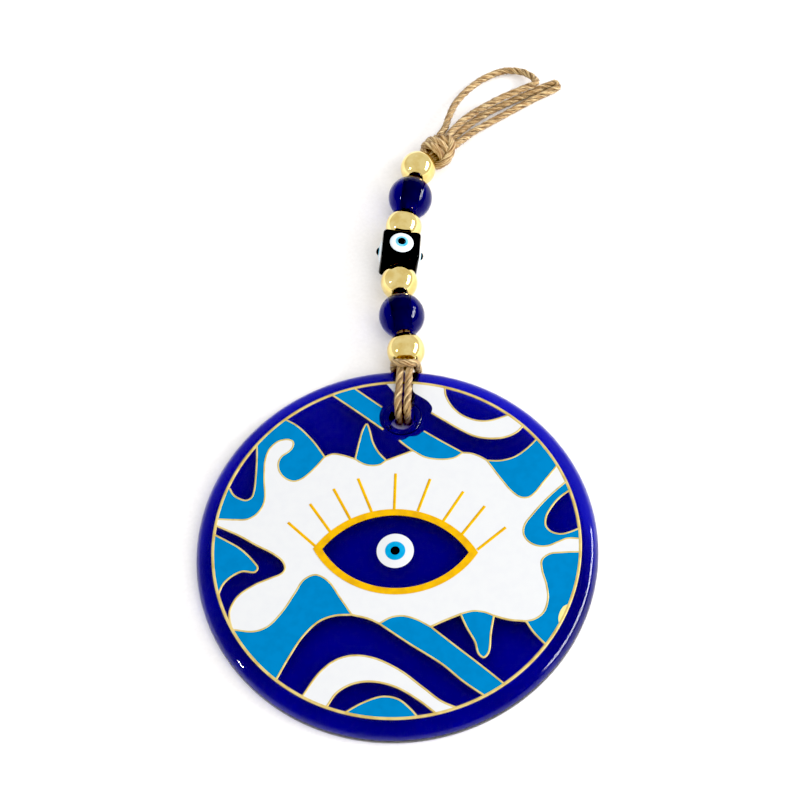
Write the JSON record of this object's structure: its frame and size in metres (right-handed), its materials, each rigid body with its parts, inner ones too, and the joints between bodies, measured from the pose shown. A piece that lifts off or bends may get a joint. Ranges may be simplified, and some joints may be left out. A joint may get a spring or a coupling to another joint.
{
  "type": "evil eye ornament",
  "caption": "Hanging evil eye ornament: a printed cobalt glass disc on a doubled jute twine strung with gold, cobalt and cube eye beads, with hanging loops.",
  "frame": {"origin": "centre of the glass disc's flat back", "axes": "+Z out of the printed face, +Y from the disc's centre through its hole towards the hanging loops, +X to the right of the face"},
  "size_m": [0.11, 0.2354, 0.0164],
  "materials": {
    "cobalt_glass": "clear cobalt glass, fire polished",
    "white_enamel": "white fired enamel, with turquoise fields and thin gold outlines",
    "gold_enamel": "fired gold line, satin",
    "sky_enamel": "sky blue fired enamel",
    "black_enamel": "black fired enamel",
    "gold_plate": "polished gold plate",
    "cobalt_bead_glass": "clear cobalt glass, polished",
    "black_glass": "opaque black lampwork glass",
    "white_glass": "opaque white lampwork glass",
    "sky_glass": "opaque sky blue lampwork glass",
    "jute": "natural jute twine, laid from plies, slightly hairy"
  },
  "bodies": {
    "disc": {"glass_disc": "cobalt_glass", "enamel_field": "white_enamel", "gold_rim_line": "gold_enamel", "gold_eye_line": "gold_enamel", "eye_white": "white_enamel", "eye_iris": "sky_enamel", "eye_pupil": "black_enamel", "hitch_twine": "jute"},
    "string_lower": {"strand_lower_left": "jute", "strand_lower_right": "jute"},
    "string_middle": {"strand_middle_left": "jute", "strand_middle_right": "jute"},
    "string_upper": {"strand_upper_left": "jute", "strand_upper_right": "jute", "overhand_knot": "jute", "loop_wide": "jute", "loop_long": "jute"},
    "gold_bead_1": {"gold_bead_1": "gold_plate"},
    "cobalt_bead_1": {"cobalt_bead_1": "cobalt_bead_glass"},
    "gold_bead_2": {"gold_bead_2": "gold_plate"},
    "cube_bead": {"cube_bead": "black_glass", "cube_white_top": "white_glass", "cube_iris_top": "sky_glass", "cube_pupil_top": "black_glass", "cube_white_right": "white_glass", "cube_iris_right": "sky_glass", "cube_pupil_right": "black_glass", "cube_white_back": "white_glass", "cube_iris_back": "sky_glass", "cube_pupil_back": "black_glass", "cube_white_left": "white_glass", "cube_iris_left": "sky_glass", "cube_pupil_left": "black_glass"},
    "gold_bead_3": {"gold_bead_3": "gold_plate"},
    "cobalt_bead_2": {"cobalt_bead_2": "cobalt_bead_glass"},
    "gold_bead_4": {"gold_bead_4": "gold_plate"}
  },
  "joints": [
    {"name": "hitch_tilt", "type": "hinge", "parent": "disc", "child": "string_lower", "pos_m": [0, 0.0547, 0.0063], "axis": [1, 0, 0], "range_deg": [-2, 35]},
    {"name": "string_sway", "type": "hinge", "parent": "string_lower", "child": "string_middle", "pos_m": [-0.00105, 0.06715, 0.00429], "axis": [0, 0, 1], "range_deg": [-10, 10]},
    {"name": "string_bend", "type": "hinge", "parent": "string_middle", "child": "string_upper", "pos_m": [-0.00062, 0.12571, 0.00323], "axis": [0, 0, 1], "range_deg": [-10, 10]},
    {"name": "gold_bead_1_spin", "type": "hinge", "parent": "string_lower", "child": "gold_bead_1", "pos_m": [-0.0002, 0.06177, 0.00395], "axis": [-0.1561, 0.9855, 0.0661], "continuous": true},
    {"name": "cobalt_bead_1_spin", "type": "hinge", "parent": "string_middle", "child": "cobalt_bead_1", "pos_m": [-0.002, 0.07392, 0.00427], "axis": [-0.1392, 0.9903, -0.0037], "continuous": true},
    {"name": "gold_bead_2_spin", "type": "hinge", "parent": "string_middle", "child": "gold_bead_2", "pos_m": [-0.00339, 0.08587, 0.00441], "axis": [-0.0871, 0.9957, 0.0312], "continuous": true},
    {"name": "cube_bead_spin", "type": "hinge", "parent": "string_middle", "child": "cube_bead", "pos_m": [-0.00374, 0.09645, 0.00446], "axis": [0.0174, 0.9996, -0.0212], "continuous": true},
    {"name": "gold_bead_3_spin", "type": "hinge", "parent": "string_middle", "child": "gold_bead_3", "pos_m": [-0.00308, 0.10701, 0.00404], "axis": [0.1044, 0.993, -0.056], "continuous": true},
    {"name": "cobalt_bead_2_spin", "type": "hinge", "parent": "string_middle", "child": "cobalt_bead_2", "pos_m": [-0.00159, 0.11894, 0.00349], "axis": [0.1391, 0.9895, -0.0386], "continuous": true},
    {"name": "gold_bead_4_spin", "type": "hinge", "parent": "string_upper", "child": "gold_bead_4", "pos_m": [0.00032, 0.13107, 0.00312], "axis": [0.1736, 0.9846, -0.0212], "continuous": true}
  ]
}
